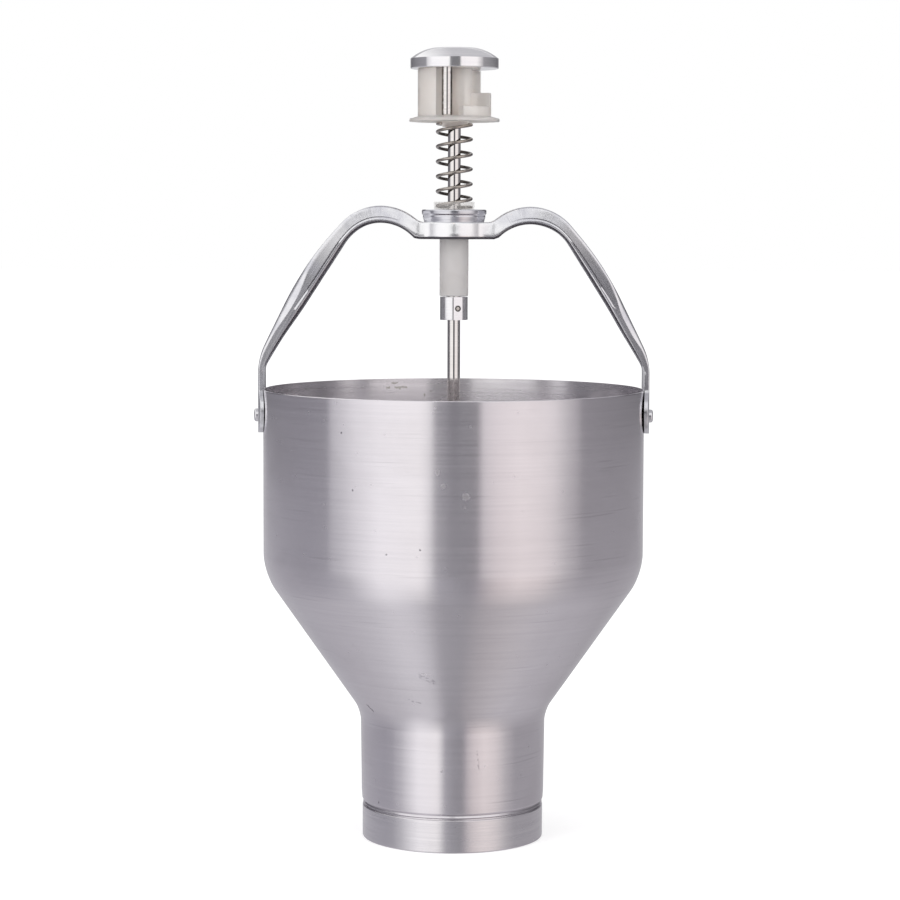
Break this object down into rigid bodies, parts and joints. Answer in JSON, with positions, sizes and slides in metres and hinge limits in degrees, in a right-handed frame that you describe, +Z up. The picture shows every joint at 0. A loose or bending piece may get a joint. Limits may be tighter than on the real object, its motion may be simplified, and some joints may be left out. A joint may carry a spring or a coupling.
{
  "type": "batter dispenser",
  "caption": "Hand batter dispenser: spun aluminium hopper with a strap handle over its mouth and a sprung plunger with a stepped dose adjuster, which pushes rings of batter out of the outlet.",
  "frame": {"origin": "centre of the outlet's lower edge, on which the dispenser stands", "axes": "+Z up along the plunger, X along the strap handle, -Y towards the front where the level pin shows"},
  "size_m": [0.1888, 0.18, 0.3736],
  "materials": {
    "spun_aluminium": "spun sheet aluminium with fine turning lines round the body",
    "turned_aluminium": "lathe-turned aluminium",
    "polished_strip": "pressed steel strip, bright plated",
    "rivet_aluminium": "plain rivet aluminium",
    "plated_steel": "turned steel, bright zinc plate",
    "nylon": "natural nylon, slightly translucent",
    "adjuster_plastic": "moulded natural nylon, milky and slightly translucent",
    "spring_steel": "drawn stainless spring wire",
    "knob_aluminium": "turned and polished aluminium",
    "stainless_rod": "ground stainless bar",
    "collar_aluminium": "turned aluminium",
    "screw_steel": "darkened steel grub screw",
    "stainless_fastener": "plain stainless fastener"
  },
  "bodies": {
    "frame": {"hopper": "spun_aluminium", "outlet_ring": "turned_aluminium", "handle_bridge": "polished_strip", "left_rivet": "rivet_aluminium", "right_rivet": "rivet_aluminium", "guide_disc": "plated_steel", "guide_bush": "nylon", "return_spring": "spring_steel"},
    "plunger": {"push_knob": "knob_aluminium", "level_pin": "stainless_rod", "plunger_rod": "stainless_rod", "stop_collar": "collar_aluminium", "collar_screw": "screw_steel", "piston_nut": "stainless_fastener", "piston_washer": "stainless_fastener", "piston": "turned_aluminium", "spacer_tube": "turned_aluminium", "cutter_disc": "turned_aluminium", "cutter_washer": "stainless_fastener", "cap_nut": "stainless_fastener"},
    "adjuster": {"adjuster": "adjuster_plastic"}
  },
  "joints": [
    {"name": "plunger_slide", "type": "slide", "parent": "frame", "child": "plunger", "axis": [0, 0, -1], "range_m": [0, 0.026], "stiffness_N_per_m": 1200, "springref_m": -0.009, "deforming": ["return_spring"]},
    {"name": "adjuster_turn", "type": "hinge", "parent": "plunger", "child": "adjuster", "pos_m": [0, 0, 0.347], "axis": [0, 0, 1], "range_deg": [-17, 1.5]}
  ]
}
